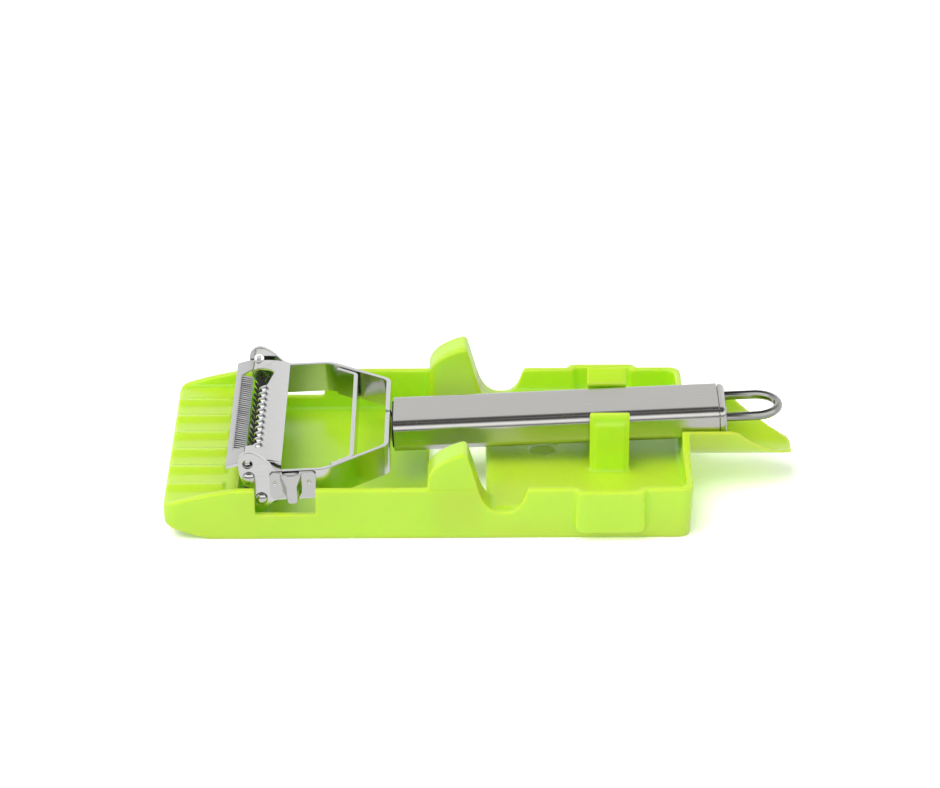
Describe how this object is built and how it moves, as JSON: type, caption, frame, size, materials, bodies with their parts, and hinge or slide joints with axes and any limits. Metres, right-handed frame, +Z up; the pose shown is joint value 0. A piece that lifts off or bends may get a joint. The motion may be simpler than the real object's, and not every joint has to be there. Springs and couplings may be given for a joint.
{
  "type": "mandoline slicer",
  "caption": "Yoke peeler with a julienne blade unit and a plain blade unit, clipped into a moulded tray that hooks on a bowl and turns it into a small mandoline.",
  "frame": {"origin": "middle of the overall box, on the surface that the tray stands on", "axes": "+X along the tool from the ramp to the hanging loop, +Y across it away from the eye gouge, +Z up"},
  "size_m": [0.2141, 0.0946, 0.033],
  "materials": {
    "tray_plastic": "translucent-looking lime green moulded plastic, fine gloss",
    "dark_plastic": "black moulded plastic",
    "satin_steel": "satin stainless steel, brushed lengthways",
    "blade_steel": "stainless steel sheet, fine satin",
    "bright_steel": "polished stainless steel",
    "wire_steel": "polished stainless wire"
  },
  "bodies": {
    "tray": {"base_tray": "tray_plastic"},
    "peeler": {"handle_tube": "satin_steel", "handle_front_plug": "dark_plastic", "handle_end_cap": "satin_steel", "hanging_loop": "wire_steel", "yoke_near": "satin_steel", "yoke_far": "satin_steel", "yoke_brace": "satin_steel", "eye_gouge": "bright_steel", "upper_rivet_near": "bright_steel", "upper_rivet_far": "bright_steel", "lower_rivet_near": "bright_steel", "lower_rivet_far": "bright_steel"},
    "upper_blades": {"serrated_blade": "blade_steel", "julienne_plate": "blade_steel"},
    "lower_blade": {"peeling_blade": "blade_steel"}
  },
  "joints": [
    {"name": "peeler_lift", "type": "slide", "parent": "tray", "child": "peeler", "axis": [0, 0, 1], "range_m": [0, 0.06]},
    {"name": "upper_blade_swing", "type": "hinge", "parent": "peeler", "child": "upper_blades", "pos_m": [-0.07819, 0, 0.02113], "axis": [0, 1, 0], "range_deg": [-6, 6]},
    {"name": "lower_blade_swing", "type": "hinge", "parent": "peeler", "child": "lower_blade", "pos_m": [-0.07411, 0, 0.01333], "axis": [0, 1, 0], "range_deg": [-9, 9]}
  ]
}
